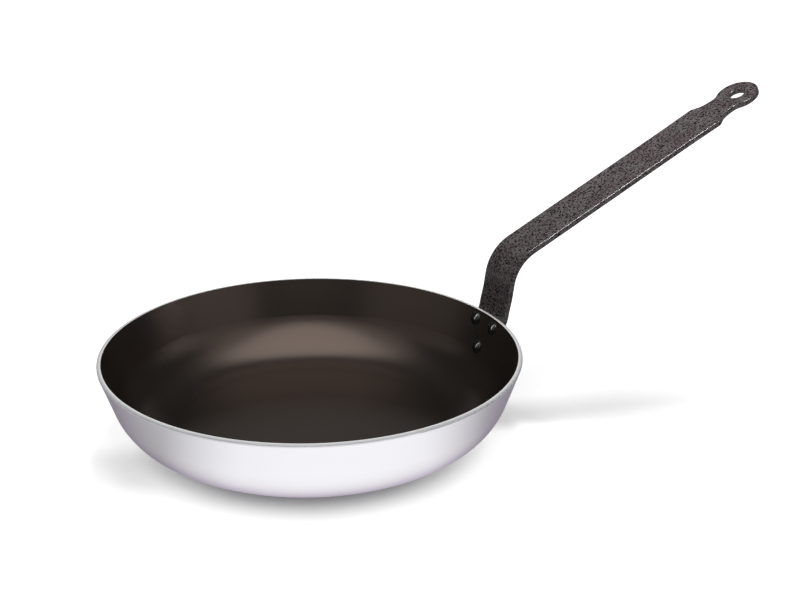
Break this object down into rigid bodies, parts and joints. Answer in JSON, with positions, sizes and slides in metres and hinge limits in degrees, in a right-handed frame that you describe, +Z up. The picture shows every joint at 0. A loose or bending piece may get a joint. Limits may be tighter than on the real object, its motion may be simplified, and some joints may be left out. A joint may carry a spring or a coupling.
{
  "type": "frying pan",
  "caption": "Shallow aluminium frying pan with sloping sides, a dark non-stick inside and a long flat black strip handle riveted to the wall, with a hanging eye.",
  "frame": {"origin": "centre of the flat base, on the surface that the pan stands on", "axes": "+X from the pan's centre towards the handle, +Z up; the XZ plane is the mirror plane"},
  "size_m": [0.5003, 0.279, 0.1924],
  "materials": {
    "aluminium_shell": "satin, bare metal, with a bright turned lip",
    "nonstick_coat": "dark brown-black fluoropolymer coat, semi-matt",
    "black_handle": "black hammered epoxy powder coat",
    "rivet_metal": "dark coated domes inside, bare domes outside"
  },
  "bodies": {
    "root": {"pan_body": "aluminium_shell", "nonstick_coating": "nonstick_coat", "handle": "black_handle", "rivets": "rivet_metal"}
  },
  "joints": []
}
